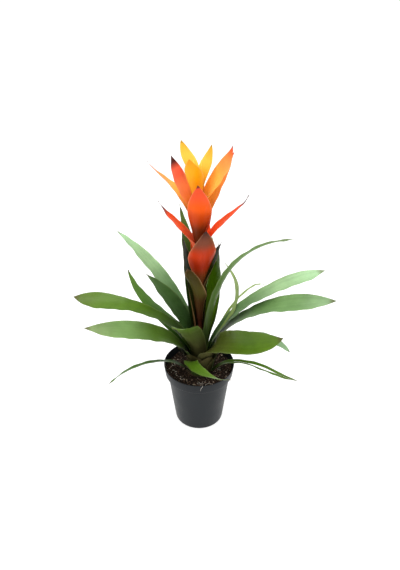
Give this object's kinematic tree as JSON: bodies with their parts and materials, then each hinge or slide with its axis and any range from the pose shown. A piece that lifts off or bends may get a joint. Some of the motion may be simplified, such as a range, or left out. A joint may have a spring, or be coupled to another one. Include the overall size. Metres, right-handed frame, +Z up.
{
  "type": "potted bromeliad",
  "caption": "Bromeliad with arching strap leaves and a tall spike of red, orange and yellow bracts, growing in a round black nursery pot.",
  "frame": {"origin": "centre of the pot's flat base, on the surface it stands on", "axes": "+Z up the pot and the flower stem; -Y is the front, from which the big red bract in the middle of the spike is seen face on"},
  "size_m": [0.4232, 0.3042, 0.5117],
  "materials": {
    "pot_plastic": "satin",
    "soil": "matte",
    "short_stem": "matte",
    "flower_stem": "satin",
    "leaf": "satin",
    "bract_green": "satin",
    "bract_red": "satin",
    "bract_orange": "satin",
    "bract_yellow": "satin",
    "floret": "satin"
  },
  "bodies": {
    "root": {"pot": "pot_plastic", "soil": "soil", "short_stem": "short_stem", "flower_stem": "flower_stem", "leaf_01": "leaf", "leaf_02": "leaf", "leaf_03": "leaf", "leaf_04": "leaf", "leaf_05": "leaf", "leaf_06": "leaf", "leaf_07": "leaf", "leaf_08": "leaf", "leaf_09": "leaf", "leaf_10": "leaf", "leaf_11": "leaf", "leaf_12": "leaf", "leaf_13": "leaf", "leaf_14": "leaf", "leaf_15": "leaf", "leaf_16": "leaf", "leaf_17": "leaf", "leaf_18": "leaf", "leaf_19": "leaf", "leaf_20": "leaf", "bract_01": "bract_green", "bract_02": "bract_green", "bract_03": "bract_green", "bract_04": "bract_green", "bract_05": "bract_red", "bract_06": "bract_red", "bract_07": "bract_red", "bract_08": "bract_red", "bract_09": "bract_red", "bract_10": "bract_red", "bract_11": "bract_orange", "bract_12": "bract_orange", "bract_13": "bract_orange", "bract_14": "bract_orange", "bract_15": "bract_orange", "bract_16": "bract_yellow", "bract_17": "bract_yellow", "bract_18": "bract_yellow", "floret_1": "floret", "floret_2": "floret", "floret_3": "floret", "floret_4": "floret"}
  },
  "joints": []
}
